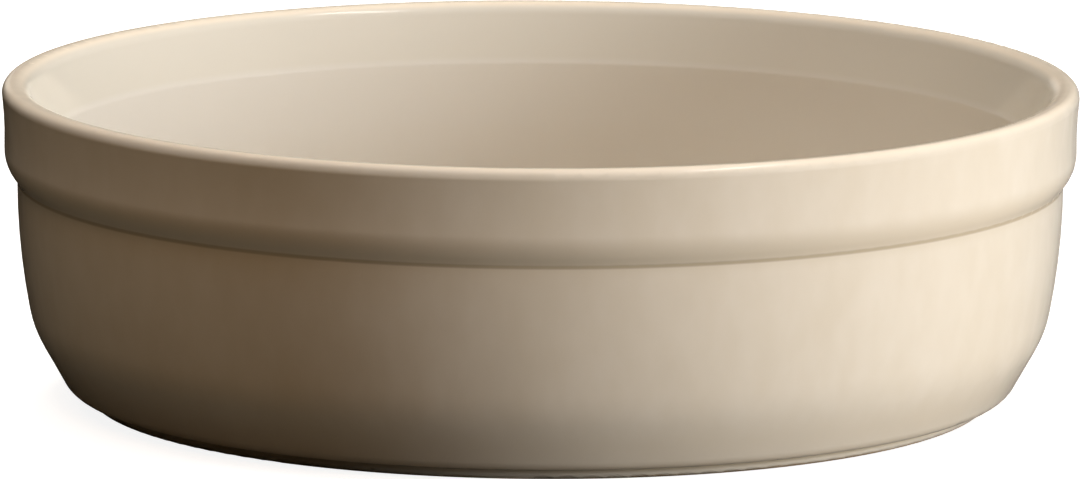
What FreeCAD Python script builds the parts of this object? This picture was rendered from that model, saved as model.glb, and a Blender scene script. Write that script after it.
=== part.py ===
import FreeCAD, Part
import math
import os
import re
import Sketcher

# A creme brulee dish: one piece of pressed stoneware, glazed and fired. It is round all the way,
# so its floor, wall and lip are one half section, turned about the axis. Every edge that stands
# out is rounded, as pressed clay under a glaze has none that is sharp.
# Millimetres, +Z up. The origin is the middle of the plane that the foot ring stands on.

# Every size of the dish, once: its name, its value and what it measures.
SIZES = [
    ("dish_diameter", 125.0, "across the corner of the rim, before the lip is rounded"),
    ("dish_height", 37.0, "from the ground to the top of the rim"),
    ("collar_depth", 11.2, "from the top of the rim down to the groove under the collar"),
    ("collar_hollow_radius", 45.0, "the collar's face is slightly hollow, to this radius"),
    ("rim_flare", 0.38, "how far the rim stands out past the collar's lower edge"),
    ("shoulder_out", 1.55, "how far the collar steps out from the wall above the groove"),
    ("shoulder_height", 2.1, "height of the sloping underside of the collar"),
    ("barrel_swell", 1.85, "how far the wall swells out between the bend and the groove"),
    ("bend_height", 8.65, "height of the ring where the wall turns in towards the foot"),
    ("cone_lean", 29.6, "lean of the wall below that ring, in degrees off upright"),
    ("toe_undercut", 2.05, "how far the toe overhangs the foot ring"),
    ("toe_rise", 0.15, "rise of that overhang, from the crease out to the toe"),
    ("foot_height", 1.25, "from the ground to the crease above the foot ring"),
    ("foot_flare", 0.25, "how far the foot ring widens on its way up to the crease"),
    ("foot_ring_width", 4.3, "width of the foot ring at the ground"),
    ("recess_depth", 1.2, "depth of the hollow inside the foot ring"),
    ("recess_draft", 0.8, "how far the side of that hollow leans in"),
    ("floor_thickness", 3.7, "thickness of the floor above the hollow"),
    ("rim_wall", 3.0, "thickness of the wall at the top, before the lip is rounded"),
    ("barrel_wall", 3.55, "thickness of the wall at the groove"),
    ("band_depth", 6.95, "depth of the flared band inside the rim"),
    ("floor_draw", 0.9, "how much more the inside draws in than the outside, down to the floor"),
    ("bend_blend", 13.0, "radius where the wall turns in towards the foot"),
    ("toe_blend", 2.4, "radius of the toe"),
    ("foot_outer_blend", 1.0, "radius of the outer edge of the foot ring"),
    ("foot_inner_blend", 0.7, "radius of the inner edge of the foot ring"),
    ("groove_blend", 1.2, "radius of the glazed corner of the groove"),
    ("collar_blend", 4.5, "radius of the soft lower edge of the collar"),
    ("lip_outer_blend", 1.2, "radius of the outer side of the lip"),
    ("lip_inner_blend", 2.0, "radius of the inner side of the lip"),
    ("band_blend", 1.2, "radius of the edge under the flared band inside"),
    ("floor_blend", 6.5, "radius between the inside wall and the floor"),
]
NAMES = {name for name, value, meaning in SIZES}

# Places on the half section, as formulas of those sizes.
COLLAR_OUT = "dish_diameter / 2 - rim_flare"
GROOVE_OUT = COLLAR_OUT + " - shoulder_out"
GROOVE_UP = "dish_height - collar_depth"
BEND_OUT = GROOVE_OUT + " - barrel_swell"
TOE_OUT = BEND_OUT + " - (bend_height - foot_height - toe_rise) * tan(cone_lean)"
CREASE_OUT = TOE_OUT + " - toe_undercut"
FOOT_OUT = CREASE_OUT + " - foot_flare"
RECESS_OUT = FOOT_OUT + " - foot_ring_width"
FLOOR_UP = "recess_depth + floor_thickness"

# The corners of the half section, in order with the clay on the left: out under the floor, round
# the foot ring, up the outside, over the lip, and down the inside. Each has how far it is out
# from the axis and up from the ground, where None is on the axis or on the ground, and the
# radius that it is rounded to. A radius on a short face is held to a share of that face, which
# leaves the rest of it for the next corner's radius.
CORNERS = {
    "recess_middle": (None, "recess_depth", None),
    "recess": (RECESS_OUT + " - recess_draft", "recess_depth", None),
    "ring_edge": (RECESS_OUT, None, "min(foot_inner_blend; 0.6 * recess_depth)"),
    "foot": (FOOT_OUT, None, "min(foot_outer_blend; 0.8 * foot_height)"),
    "crease": (CREASE_OUT, "foot_height", None),
    "toe": (TOE_OUT, "foot_height + toe_rise", "min(toe_blend; 1.2 * toe_undercut)"),
    "bend": (BEND_OUT, "bend_height", "bend_blend"),
    "groove": (GROOVE_OUT, GROOVE_UP, "min(groove_blend; 0.6 * shoulder_height)"),
    "collar": (
        COLLAR_OUT, GROOVE_UP + " + shoulder_height", "min(collar_blend; 2.2 * shoulder_height)"),
    "rim": ("dish_diameter / 2", "dish_height", "min(lip_outer_blend; 0.42 * rim_wall)"),
    "mouth": (
        "dish_diameter / 2 - rim_wall", "dish_height", "min(lip_inner_blend; 0.68 * rim_wall)"),
    "band": (GROOVE_OUT + " - barrel_wall", "dish_height - band_depth", "band_blend"),
    "floor": (BEND_OUT + " - barrel_wall - floor_draw", FLOOR_UP, "floor_blend"),
    "floor_middle": (None, FLOOR_UP, None),
}

# The faces that are curved. Each has the corners at its ends, in the order that keeps the centre
# of its curve on the left. The rest are straight.
BARREL = ("bend", "groove")
COLLAR_FACE = ("rim", "collar")
INNER_WALL = ("floor", "band")
CURVED = (BARREL, COLLAR_FACE, INNER_WALL)

# About how far a curved face stands off its chord before the section is solved, in millimetres.
FIRST_BULGE = 0.4

# What a sketch calls the points of a curve, its own level and upright axes, and its origin.
START, END, CENTRE = range(1, 4)
LEVEL_AXIS, UPRIGHT_AXIS = range(-1, -3, -1)
ORIGIN = (LEVEL_AXIS, START)

doc = FreeCAD.newDocument("creme_brulee_dish")
sheet = doc.addObject("Spreadsheet::Sheet", "sizes")
for row, (name, value, meaning) in enumerate(SIZES, start=1):
    sheet.set("A%d" % row, name)
    sheet.set("B%d" % row, str(value))
    sheet.set("C%d" % row, meaning)
    sheet.setAlias("B%d" % row, name)
doc.recompute()

dish = doc.addObject("PartDesign::Body", "dish")
dish.Label = "dish"
section = dish.newObject("Sketcher::SketchObject", "section")
for plane in dish.Origin.OriginFeatures:
    if plane.Role == "XZ_Plane":
        section.AttachmentSupport = [(plane, "")]
section.MapMode = "FlatFace"


def from_sheet(formula):
    """Writes the sheet's name before each size in a formula."""
    return re.sub("[a-z_]+", lambda word: "sizes." * (word[0] in NAMES) + word[0], formula)


def worth(formula):
    """Works out a formula of sizes, where None is nothing."""
    return 0.0 if formula is None else float(sheet.evalExpression(formula))


def tie(kind, *where, label=None, formula=None):
    """Ties parts of the section to each other, or a distance or a radius to a formula."""
    value = () if formula is None else (worth(formula),)
    ties.append((Sketcher.Constraint(kind, *where, *value), label, formula))


def rounding(corner):
    """Gives about where the round of a corner starts, its middle and its end."""
    place = spots[corner]
    back = (spots[before[corner]] - place).normalize()
    onward = (spots[after[corner]] - place).normalize()
    half = back.getAngle(onward) / 2
    radius = worth(CORNERS[corner][2])
    to_middle = (back + onward).normalize() * (radius / math.sin(half) - radius)
    reach = radius / math.tan(half)
    return place + back * reach, place + to_middle, place + onward * reach


ties = []
corners = list(CORNERS)
after = dict(zip(corners, corners[1:] + corners[:1]))
before = {following: corner for corner, following in after.items()}
spots = {
    corner: FreeCAD.Vector(worth(out), worth(up), 0)
    for corner, (out, up, radius) in CORNERS.items()
}
rounds = {corner: rounding(corner) for corner in corners if CORNERS[corner][2]}

# The faces, each from one corner to the next. At a round corner a face stops where the round
# starts. Each corner keeps the end of the face that comes to it and the start of the next.
numbers, comes, goes = {}, {}, {}
for corner, following in after.items():
    start = rounds[corner][2] if corner in rounds else spots[corner]
    end = rounds[following][0] if following in rounds else spots[following]
    pair, points = (corner, following), (START, END)
    if (following, corner) in CURVED:
        pair, points = (following, corner), (END, START)
        start, end = end, start
    curve = Part.LineSegment(start, end)
    if pair in CURVED:
        right = FreeCAD.Vector(end.y - start.y, start.x - end.x, 0).normalize()
        curve = Part.Arc(start, (start + end) / 2 + right * FIRST_BULGE, end)
    numbers[pair] = section.addGeometry(curve, False)
    goes[corner] = (numbers[pair], points[0])
    comes[following] = (numbers[pair], points[1])

# The corners. A sharp one is where its two faces meet. A round one is a bare point on the run of
# both faces, and an arc takes one face into the other without a kink.
places = {}
for corner, (out, up, radius) in CORNERS.items():
    if radius is None:
        tie("Coincident", *comes[corner], *goes[corner])
        places[corner] = goes[corner]
    else:
        places[corner] = (section.addGeometry(Part.Point(spots[corner]), True), START)
        start, middle, end = rounds[corner]
        points = (START, END)
        if (middle - start).cross(end - middle).z < 0:
            points = (END, START)
            start, end = end, start
        arc = section.addGeometry(Part.Arc(start, middle, end), False)
        tie("PointOnObject", *places[corner], comes[corner][0])
        tie("PointOnObject", *places[corner], goes[corner][0])
        tie("Tangent", *comes[corner], arc, points[0])
        tie("Tangent", *goes[corner], arc, points[1])
        tie("Radius", arc, label=corner + "_round", formula=radius)
    if out is None:
        tie("PointOnObject", *places[corner], UPRIGHT_AXIS)
    else:
        tie("DistanceX", *ORIGIN, *places[corner], label=corner + "_out", formula=out)
    if up is None:
        tie("PointOnObject", *places[corner], LEVEL_AXIS)
    else:
        tie("DistanceY", *ORIGIN, *places[corner], label=corner + "_up", formula=up)

# The barrel is upright at the groove and the inside wall at the band's edge, so the centre of
# each is level with that corner. The collar's face has its own radius.
tie("Horizontal", numbers[BARREL], CENTRE, *places["groove"])
tie("Horizontal", numbers[INNER_WALL], CENTRE, *places["band"])
tie("Radius", numbers[COLLAR_FACE], label="collar_hollow", formula="collar_hollow_radius")

section.addConstraint([made for made, label, formula in ties])
for number, (made, label, formula) in enumerate(ties):
    if label is not None:
        section.renameConstraint(number, label)
        section.setExpression("Constraints." + label, from_sheet(formula))
doc.recompute()
if section.solve() != 0 or not section.FullyConstrained:
    raise RuntimeError("the section is not fully tied to the sizes")

turned = dish.newObject("PartDesign::Revolution", "turned")
turned.Profile = section
turned.ReferenceAxis = (section, ["V_Axis"])
turned.Angle = 360.0

doc.recompute()
for thing in doc.Objects:
    if "Invalid" in thing.State or "Error" in thing.State:
        raise RuntimeError("%s did not compute: %s" % (thing.Name, thing.State))
if dish.Shape.isNull() or not dish.Shape.isValid() or len(dish.Shape.Solids) != 1:
    raise RuntimeError("the dish is not one valid solid")

os.makedirs("parts", exist_ok=True)
dish.Shape.exportStep("parts/dish.step")
print("dish", round(dish.Shape.Volume / 1000, 2), "cm3", dish.Shape.BoundBox)
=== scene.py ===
import math

import bpy
from mathutils import Matrix, Vector

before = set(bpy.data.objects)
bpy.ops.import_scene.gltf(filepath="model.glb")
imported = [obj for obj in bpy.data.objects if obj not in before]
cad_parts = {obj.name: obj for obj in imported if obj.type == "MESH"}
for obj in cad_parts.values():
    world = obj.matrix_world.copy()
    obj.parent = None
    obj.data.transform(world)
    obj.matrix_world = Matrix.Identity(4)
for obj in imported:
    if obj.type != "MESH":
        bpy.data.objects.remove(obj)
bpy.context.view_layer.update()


# ---- The dish
# One piece of pressed stoneware, fired once under a warm cream glaze. It is dipped, so the glaze
# covers it inside and out, and only the ring that it stands on is wiped clean before firing.
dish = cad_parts["dish"]

# Its half section in millimetres, from the middle of the underside to the middle of the floor
# inside. Each corner has its place out from the axis and up from the ground, the radius of its
# round, and the radius of the face that leaves it. A face of radius 0 is straight, and a minus
# sign puts the centre on the face's right.
SECTION = [
    (0.0, 1.2, 0.0, 0.0),
    (47.201, 1.2, 0.0, 0.0),
    (48.001, 0.0, 0.7, 0.0),
    (52.301, 0.0, 1.0, 0.0),
    (52.551, 1.25, 0.0, 0.0),
    (54.601, 1.4, 2.4, 0.0),
    (58.72, 8.65, 13.0, 80.42),
    (60.57, 25.8, 1.2, 0.0),
    (62.12, 27.9, 4.5, -45.0),
    (62.5, 37.0, 1.2, 0.0),
    (59.5, 37.0, 2.0, 0.0),
    (57.02, 30.05, 1.2, -116.4),
    (54.27, 4.9, 6.5, 0.0),
    (0.0, 4.9, 0.0, 0.0),
]

# How finely it is turned: the columns round the axis, the degrees between the points of an arc,
# and the steps in which the centre of a round is found. MM is a millimetre in metres.
COLUMNS = 480
ARC_STEP = 6.0
CENTRE_STEPS = 8
MM = 0.001


def left_of(face, point):
    """Gives how far a point is to the left of a face, and the direction that is left there."""
    start, end, bow, centre = face
    if bow:
        side = math.copysign(1.0, bow)
        return side * (abs(bow) - (point - centre).length), side * (centre - point).normalized()
    left = Vector((start.y - end.y, end.x - start.x)).normalized()
    return (point - start).dot(left), left


def arc(centre, start, end):
    """Gives the points of an arc, each with its direction from the centre."""
    arm = start - centre
    sweep = -arm.angle_signed(end - centre)
    steps = max(3, math.ceil(abs(math.degrees(sweep)) / ARC_STEP))
    arms = [Matrix.Rotation(sweep * step / steps, 2) @ arm for step in range(steps + 1)]
    return [(centre + turned, turned.normalized()) for turned in arms]


faces = []
for (*start, _, bow), (*end, _, _) in zip(SECTION, SECTION[1:]):
    start, end = Vector(start), Vector(end)
    half = (end - start) / 2
    rise = math.sqrt(bow * bow - half.length_squared) if bow else 0.0
    left = Vector((-half.y, half.x)).normalized()
    faces.append((start, end, bow, start + half + left * math.copysign(rise, bow)))

# Each round touches the two faces at its corner. Its centre is found by stepping to the point
# that is a radius away from both. A round is kept as its start, its end and its run of points,
# which is empty at a sharp corner and at the axis.
rounds = [(faces[0][0], faces[0][0], [])]
for (*corner, radius, _), before, after in zip(SECTION[1:-1], faces, faces[1:]):
    centre = Vector(corner)
    turn = left_of(before, centre)[1].cross(left_of(after, centre)[1])
    radius = math.copysign(radius, turn)
    for _ in range(CENTRE_STEPS):
        (from_first, first), (from_second, second) = left_of(before, centre), left_of(after, centre)
        first_miss, second_miss = radius - from_first, radius - from_second
        centre += Vector((
            first_miss * second.y - second_miss * first.y,
            second_miss * first.x - first_miss * second.x)) / first.cross(second)
    start = centre - left_of(before, centre)[1] * radius
    end = centre - left_of(after, centre)[1] * radius
    outward = math.copysign(1.0, radius)
    run = [(spot, away * outward) for spot, away in arc(centre, start, end)] if radius else []
    rounds.append((start, end, run))
rounds.append((faces[-1][1], faces[-1][1], []))

# The runs of the section in turn, faces and rounds, each point with the way the surface looks
# there. The short face that leaves a sharp corner is left out, so that the corner is shaded as
# the face before it, and the glaze in it looks like a small cove.
runs = []
for face, (_, start, last_run), (end, _, run) in zip(faces, rounds, rounds[1:]):
    *_, bow, centre = face
    if bow:
        outward = math.copysign(1.0, bow)
        runs.append([(spot, away * outward) for spot, away in arc(centre, start, end)])
    elif last_run or not runs:
        right = -left_of(face, start)[1]
        runs.append([(start, right), (end, right)])
    if run:
        runs.append(run)

# The section is turned about the axis. This turned form is not shown. The dish takes its smooth
# shading from it, because a mirror-like glaze shows up the facets of a solid's mesh.
spots, ways, quads = [], [], []
for run in runs:
    for row, (spot, way) in enumerate(run):
        for column in range(COLUMNS):
            angle = math.tau * column / COLUMNS
            across, along = math.cos(angle), math.sin(angle)
            if row:
                here = len(spots)
                beside = here - column + (column + 1) % COLUMNS
                quads.append((here - COLUMNS, beside - COLUMNS, beside, here))
            spots.append((spot.x * across * MM, spot.x * along * MM, spot.y * MM))
            ways.append((way.x * across, way.x * along, way.y))
turned_mesh = bpy.data.meshes.new("turned_form")
turned_mesh.from_pydata(spots, [], quads)
turned_mesh.polygons.foreach_set("use_smooth", [True] * len(quads))
turned_mesh.normals_split_custom_set_from_vertices(ways)
turned_form = bpy.data.objects.new("turned_form", turned_mesh)

for face in dish.data.polygons:
    face.use_smooth = True
shading = dish.modifiers.new("smooth_shading", "DATA_TRANSFER")
shading.object = turned_form
shading.use_loop_data = True
shading.data_types_loops = {"CUSTOM_NORMAL"}
shading.loop_mapping = "POLYINTERP_NEAREST"


def linear(hex_colour):
    """Turns an sRGB hex colour to linear red, green and blue, with an alpha of 1."""
    parts = [int(hex_colour[at:at + 2], 16) / 255 for at in (1, 3, 5)]
    return [c / 12.92 if c <= 0.04045 else ((c + 0.055) / 1.055) ** 2.4 for c in parts] + [1.0]


def add(tree, kind, at=None, **settings):
    """Adds a node. Settings are its properties, and at has its inputs: a number, a colour, or the
    output of another node, which is linked."""
    made = tree.nodes.new("ShaderNode" + kind)
    for name, value in settings.items():
        setattr(made, name, value)
    for socket, value in (at or {}).items():
        if isinstance(value, bpy.types.NodeSocket):
            tree.links.new(value, made.inputs[socket])
        else:
            made.inputs[socket].default_value = value
    return made


# Glazed stoneware. A glossy glass skin over an opaque body: a tight, clear highlight that wavers
# a little, a colour that is thin and sandy where the glaze draws off an edge, and faint cloudiness
# all over. Light and shade are painted into the colour as well: a lighter lip, and painted shade
# in the corners, below the collar and inside.
# The glaze's own colours, then colours that paint light and shade on it: a lighter lip, and a
# darker inside, band, shoulder and corners.
GLAZE = "#E3D9C7"
GLAZE_CLOUD = "#DED3BF"
INSIDE_PAINTED_SHADE = "#E3DDD1"
BAND_PAINTED_SHADE = "#DDD6C6"
THIN_GLAZE_AND_HIGHLIGHT = "#F1E4CE"
SOFT_PAINTED_SHADE = "#D6CAB5"
CORNER_PAINTED_SHADE = "#BCAE95"
BARE_CLAY = "#C9B294"
BARE_CLAY_GRIT = "#AE977A"

glazed_stoneware = bpy.data.materials.new("glazed_stoneware")
glazed_stoneware.use_nodes = True
tree = glazed_stoneware.node_tree
tree.nodes.clear()

# Where a point of the dish is, in millimetres, and its place on the half section.
place = add(tree, "TexCoord").outputs["Object"]
mm = add(tree, "VectorMath", {0: place, "Scale": 1 / MM}, operation="SCALE").outputs[0]
up = add(tree, "SeparateXYZ", {0: mm}).outputs["Z"]
level = add(tree, "VectorMath", {0: mm, 1: (1, 1, 0)}, operation="MULTIPLY").outputs[0]
out = add(tree, "VectorMath", {0: level}, operation="LENGTH").outputs["Value"]
on_section = add(tree, "CombineXYZ", {"X": out, "Y": up}).outputs[0]


def along_rings(rings):
    """Gives 1 along some rings round the dish, easing to 0 beside them. Each ring has its place
    on the half section, and how far from it the easing starts and ends, in millimetres."""
    whole = None
    for ring_out, ring_up, inner, outer in rings:
        ring_place = (ring_out, ring_up, 0)
        far = add(tree, "VectorMath", {0: on_section, 1: ring_place}, operation="DISTANCE")
        ring = add(tree, "MapRange", {
            "Value": far.outputs["Value"], "From Min": inner, "From Max": outer,
            "To Min": 1.0, "To Max": 0.0}, interpolation_type="SMOOTHSTEP").outputs[0]
        whole = ring if whole is None else add(
            tree, "Math", {0: whole, 1: ring}, operation="MAXIMUM").outputs[0]
    return whole


# The glaze draws thin over the lip and the toe. On the lip the lighter colour is also painted
# light, where the lip's top catches the lamps.
thin_and_highlight = along_rings([(60.9, 37.2, 0.9, 1.8), (54.6, 1.5, 0.2, 1.3)])
# Painted shade: a darker colour in the groove, in the crease above the foot ring and in the
# recess, where the corners lie in shade.
corner_shade = along_rings([
    (60.6, 25.75, 0.1, 0.38), (52.55, 1.3, 0.2, 0.9), (47.2, 1.2, 0.2, 1.2)])
# Painted shade: a little darker below the collar's soft edge, and round the floor inside.
soft_shade = along_rings([(61.3, 26.9, 0.5, 2.8), (54.0, 5.2, 0.5, 4.5)])

# Cloudiness: patches about 14 mm across, and finer ones of about 3 mm, as in a glaze that was
# dipped. Both are a little stretched down the wall, the way that glaze runs.
stretched = add(tree, "VectorMath", {0: mm, 1: (1, 1, 0.55)}, operation="MULTIPLY").outputs[0]
patches = add(tree, "TexNoise", {
    "Vector": stretched, "Scale": 1 / 14, "Detail": 3.0, "Roughness": 0.55}).outputs["Fac"]
clouds = add(tree, "TexNoise", {
    "Vector": stretched, "Scale": 1 / 3, "Detail": 2.0, "Roughness": 0.5}).outputs["Fac"]
cloudy = add(tree, "MapRange", {
    "Value": add(tree, "Mix", {"Factor": 0.4, "A": patches, "B": clouds}).outputs[0],
    "From Min": 0.38, "From Max": 0.66}).outputs[0]

# Inside, on the wall and the floor, the colour is painted a little greyer and darker: painted
# shade, and painted reflection of the pale room. Those are what lies within 55 mm of the axis,
# once the wall's lean is taken off, and above the underside.
WALL_LEAN = 0.09
upright = add(tree, "Math", {0: up, 1: -WALL_LEAN, 2: out}, operation="MULTIPLY_ADD").outputs[0]
within = add(tree, "MapRange", {
    "Value": upright, "From Min": 54.7, "From Max": 55.3, "To Min": 1.0, "To Max": 0.0}).outputs[0]
over = add(tree, "Math", {0: up, 1: 3.0}, operation="GREATER_THAN").outputs[0]
inside_shade = add(tree, "Math", {0: within, 1: over}, operation="MULTIPLY").outputs[0]

# The flared band is painted a shade darker, as painted shade. It is what lies within the lip
# and above the band's lower edge.
within = add(tree, "MapRange", {
    "Value": out, "From Min": 59.2, "From Max": 60.4, "To Min": 1.0, "To Max": 0.0}).outputs[0]
over = add(tree, "MapRange", {"Value": up, "From Min": 29.9, "From Max": 30.9}).outputs[0]
band_shade = add(tree, "Math", {0: within, 1: over}, operation="MULTIPLY").outputs[0]

colour = linear(GLAZE_CLOUD)
for mask, hex_colour in (
        (cloudy, GLAZE), (inside_shade, INSIDE_PAINTED_SHADE), (band_shade, BAND_PAINTED_SHADE), (thin_and_highlight, THIN_GLAZE_AND_HIGHLIGHT),
        (soft_shade, SOFT_PAINTED_SHADE), (corner_shade, CORNER_PAINTED_SHADE)):
    colour = add(
        tree, "Mix", {0: mask, 6: colour, 7: linear(hex_colour)}, data_type="RGBA").outputs[2]

# The wiped ring under the foot: bare fired clay with a grain of about 0.5 mm, and a glaze line
# that wanders by a few tenths of a millimetre.
wander = add(tree, "TexNoise", {"Vector": mm, "Scale": 1 / 5, "Detail": 2.0}).outputs["Fac"]
line = add(tree, "Math", {0: wander, 1: 0.5, 2: 0.05}, operation="MULTIPLY_ADD").outputs[0]
above = add(tree, "Math", {0: up, 1: line}, operation="SUBTRACT").outputs[0]
on_foot = add(tree, "MapRange", {
    "Value": above, "From Min": -0.04, "From Max": 0.04, "To Min": 1.0, "To Max": 0.0}).outputs[0]
grit = add(tree, "TexNoise", {"Vector": mm, "Scale": 2.0, "Detail": 3.0}).outputs["Fac"]
clay = add(tree, "Mix", {
    0: grit, 6: linear(BARE_CLAY_GRIT), 7: linear(BARE_CLAY)}, data_type="RGBA").outputs[2]
colour = add(tree, "Mix", {0: on_foot, 6: colour, 7: clay}, data_type="RGBA").outputs[2]

# The gloss varies a little with the cloudiness, and bare clay has none.
shine = add(tree, "MapRange", {
    "Value": clouds, "From Min": 0.3, "From Max": 0.7, "To Min": 0.10, "To Max": 0.17}).outputs[0]
dull = add(tree, "Mix", {"Factor": on_foot, "A": shine, "B": 0.9}).outputs[0]

# The glaze's own surface: soft waves about 9 mm apart from running in the kiln, a few hundredths
# of a millimetre high, and the far finer pits of a fired glaze, about 0.8 mm apart. On bare clay
# its grain lies over them.
waves = add(tree, "TexNoise", {"Vector": mm, "Scale": 1 / 9, "Detail": 1.0}).outputs["Fac"]
pits = add(tree, "TexNoise", {"Vector": mm, "Scale": 1.2, "Detail": 2.0}).outputs["Fac"]
rolling = add(tree, "Bump", {"Height": waves, "Strength": 1.0, "Distance": 0.06 * MM})
pitted = add(tree, "Bump", {
    "Height": pits, "Strength": 1.0, "Distance": 0.002 * MM, "Normal": rolling.outputs[0]})
grain = add(tree, "Bump", {
    "Height": grit, "Strength": on_foot, "Distance": 0.1 * MM, "Normal": pitted.outputs[0]})

gloss = add(tree, "BsdfPrincipled", {
    "Base Color": colour, "Roughness": dull, "IOR": 1.5, "Normal": grain.outputs[0]})
add(tree, "OutputMaterial", {"Surface": gloss.outputs[0]})

for slot in dish.material_slots:
    slot.material = glazed_stoneware


# ---- The floor
# A sheet of pale paper, a hair below the foot ring. To the camera it is close to white, and it
# keeps the dish's shadow. Past that its colour is painted light on the lit side of the dish and
# painted shade on the far side, so it throws back more light on the lit side. In the glaze it is
# painted dark, a painted reflection that glows only on the lit side, which draws the dish's
# outline.
# The paper as the camera sees it, its painted light and painted shade, and its painted dark
# reflection in the glaze.
PAPER = "#C4C1BC"
PAPER_PAINTED_LIGHT = "#ECE6DC"
PAPER_PAINTED_SHADE = "#716C62"
PAPER_PAINTED_REFLECTION = "#100E0C"

# How white it is to the camera, the share of that which the glaze mirrors on the lit side as a
# painted reflection, and how far to the right the far side ends and the lit side starts.
PAPER_LEVEL, MIRRORED_SHARE = 0.88, 0.26
FAR_SIDE_END, LIT_SIDE_START = -0.02, 0.11

# Half the width of the sheet, and how far it is below the foot ring.
REACH, DROP = 3.0, 0.03 * MM
sheet = bpy.data.meshes.new("paper")
sheet.from_pydata(
    [(across, along, -DROP) for across, along in (
        (-REACH, -REACH), (REACH, -REACH), (REACH, REACH), (-REACH, REACH))],
    [], [(0, 1, 2, 3)])
floor = bpy.data.objects.new("floor", sheet)
bpy.context.scene.collection.objects.link(floor)

matt_paper = bpy.data.materials.new("matt_paper")
matt_paper.use_nodes = True
tree = matt_paper.node_tree
tree.nodes.clear()
ray = add(tree, "LightPath")
mirrors = ray.outputs["Is Glossy Ray"]
seen = add(tree, "Math", {
    0: ray.outputs["Is Camera Ray"], 1: ray.outputs["Is Transmission Ray"]},
    operation="MAXIMUM").outputs[0]
across = add(tree, "SeparateXYZ", {0: add(tree, "TexCoord").outputs["Object"]}).outputs["X"]
lit_side = add(tree, "MapRange", {
    "Value": across, "From Min": FAR_SIDE_END, "From Max": LIT_SIDE_START},
    interpolation_type="SMOOTHSTEP").outputs[0]

level = add(tree, "Math", {0: mirrors, 1: lit_side}, operation="MULTIPLY").outputs[0]
level = add(tree, "Math", {
    0: level, 1: MIRRORED_SHARE, 2: seen}, operation="MULTIPLY_ADD").outputs[0]
level = add(tree, "Math", {0: level, 1: PAPER_LEVEL}, operation="MULTIPLY").outputs[0]
white = add(tree, "Emission", {"Strength": level})

shade = linear(PAPER_PAINTED_SHADE)
for mask, hex_colour in (
        (lit_side, PAPER_PAINTED_LIGHT), (mirrors, PAPER_PAINTED_REFLECTION), (seen, PAPER)):
    shade = add(
        tree, "Mix", {0: mask, 6: shade, 7: linear(hex_colour)}, data_type="RGBA").outputs[2]
paper = add(tree, "BsdfDiffuse", {"Color": shade})
both = add(tree, "AddShader", {0: white.outputs[0], 1: paper.outputs[0]})
add(tree, "OutputMaterial", {"Surface": both.outputs[0]})
sheet.materials.append(matt_paper)


# ---- The light
# One large softbox, low and to the right of the dish, and a soft sheet of light overhead. Weaker
# ones fill in from the left, the back and the front, and a narrow strip puts the sharp glint on
# the lip. The room is pale in the glaze and darker at the back.
LAMPS = {
    # degrees to the right of the front, degrees above the floor, width, height, watts, colour,
    # and whether the glaze mirrors it: the large ones are behind cloth and leave no sharp image
    "softbox": (69.0, 8.0, 0.60, 0.50, 15.5, "#FAFBFF", False),
    "overhead": (0.0, 88.0, 0.80, 0.80, 7.1, "#E8F1FF", False),
    "left": (-90.0, 62.0, 0.60, 0.50, 1.4, "#FFEEDC", False),
    "back": (172.0, 58.0, 0.60, 0.50, 8.0, "#FFF4E6", False),
    "front": (-14.0, 50.0, 0.50, 0.50, 1.8, "#FFC680", False),
    "strip": (84.0, 67.0, 0.45, 0.11, 1.3, "#FFFFFF", True),
}

# The point that the lamps are turned to, in the middle of the dish, and how far off they are.
MIDDLE = Vector((0, 0, 0.02))
LAMP_DISTANCE = 1.2


def from_front(azimuth, elevation):
    """Gives a direction from its angle to the right of the front and its angle above the floor."""
    side, height = math.radians(azimuth), math.radians(elevation)
    return Vector((
        math.sin(side) * math.cos(height), -math.cos(side) * math.cos(height), math.sin(height)))


for name, (azimuth, elevation, width, height, watts, tint, mirrored) in LAMPS.items():
    lamp = bpy.data.lights.new(name, "AREA")
    lamp.shape = "RECTANGLE"
    lamp.size, lamp.size_y = width, height
    lamp.energy = watts
    lamp.color = linear(tint)[:3]
    stand = bpy.data.objects.new(name, lamp)
    towards = from_front(azimuth, elevation)
    stand.location = MIDDLE + towards * LAMP_DISTANCE
    stand.rotation_mode = "QUATERNION"
    stand.rotation_quaternion = (-towards).to_track_quat("-Z", "Y")
    stand.visible_glossy = mirrored
    stand.visible_diffuse = not mirrored
    bpy.context.scene.collection.objects.link(stand)

# What the room looks like in each direction. To the camera it is white. In the glaze it is pale,
# and dark at the back, but for a small bright patch there that gleams inside the lip. It lights
# the dish only a little.
ROOM = "#C08A55"
ROOM_LEVEL = 0.01
ROOM_MIRRORED = "#FFF4E4"
MIRRORED_LEVEL = 1.0
PATCHES = (
    # degrees to the right of the front, degrees above the floor, how bright it is in the glaze,
    # and how many degrees from its middle it starts to fade and has gone
    (180.0, 5.0, 0.10, 50.0, 100.0),
    (-170.0, 6.0, 0.65, 3.0, 7.0),
)

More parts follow.
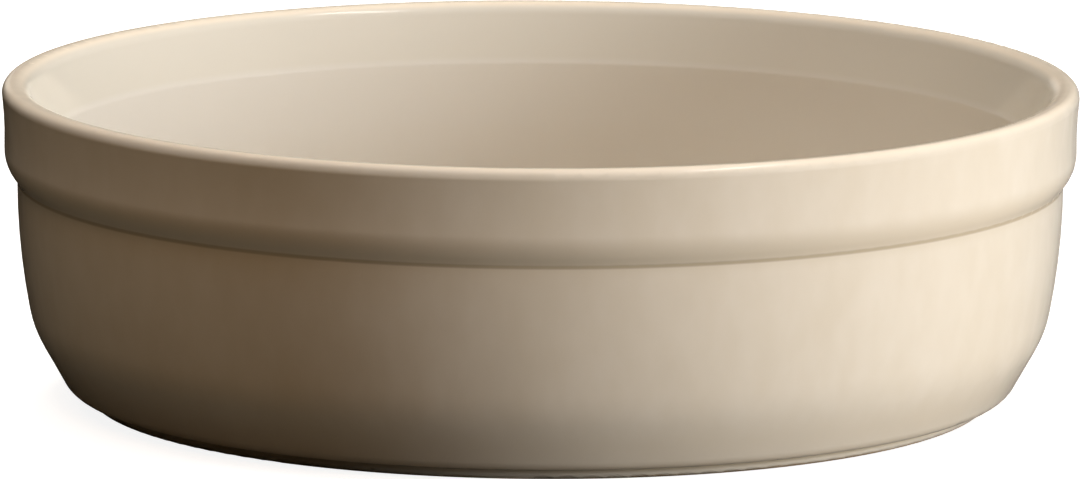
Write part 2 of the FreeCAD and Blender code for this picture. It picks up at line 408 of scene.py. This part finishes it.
room = bpy.data.worlds.new("room")
bpy.context.scene.world = room
room.use_nodes = True
tree = room.node_tree
tree.nodes.clear()
ways = add(tree, "TexCoord").outputs["Generated"]
level = MIRRORED_LEVEL
for azimuth, elevation, patch_level, fades, gone in PATCHES:
    near = add(tree, "VectorMath", {
        0: ways, 1: from_front(azimuth, elevation)}, operation="DOT_PRODUCT").outputs["Value"]
    patch = add(tree, "MapRange", {
        "Value": near, "From Min": math.cos(math.radians(gone)),
        "From Max": math.cos(math.radians(fades))}, interpolation_type="SMOOTHSTEP").outputs[0]
    level = add(tree, "Mix", {"Factor": patch, "A": level, "B": patch_level}).outputs[0]
ray = add(tree, "LightPath")
mirrors = add(tree, "Math", {
    0: ray.outputs["Is Glossy Ray"], 1: ray.outputs["Is Transmission Ray"]}, operation="MAXIMUM")
dim = add(tree, "Background", {"Color": linear(ROOM), "Strength": ROOM_LEVEL})
mirrored = add(tree, "Background", {"Color": linear(ROOM_MIRRORED), "Strength": level})
white = add(tree, "Background", {"Color": (1, 1, 1, 1), "Strength": 1.0})
seen = add(tree, "MixShader", {0: mirrors.outputs[0], 1: dim.outputs[0], 2: mirrored.outputs[0]})
seen = add(tree, "MixShader", {
    0: ray.outputs["Is Camera Ray"], 1: seen.outputs[0], 2: white.outputs[0]})
add(tree, "OutputWorld", {"Surface": seen.outputs[0]})


# ---- The camera
# It looks a little down on the dish from far off, with a long lens. Angles are in degrees, the
# distance in metres and the lens in millimetres.
CAMERA_ELEVATION, CAMERA_DISTANCE, CAMERA_LENS = 9.751, 1.6067, 462.0
CAMERA_PITCH, CAMERA_ROLL = -0.055, -0.304

lens = bpy.data.cameras.new("camera")
lens.sensor_width = 36.0
lens.lens = CAMERA_LENS
camera = bpy.data.objects.new("camera", lens)
camera.location = MIDDLE + from_front(0.0, CAMERA_ELEVATION) * CAMERA_DISTANCE
look = Matrix.Rotation(math.radians(90.0 - CAMERA_ELEVATION + CAMERA_PITCH), 4, "X")
camera.rotation_mode = "QUATERNION"
camera.rotation_quaternion = (
    look @ Matrix.Rotation(math.radians(-CAMERA_ROLL), 4, "Z")).to_quaternion()
bpy.context.scene.collection.objects.link(camera)
bpy.context.scene.camera = camera
bpy.context.scene.view_settings.view_transform = "Standard"
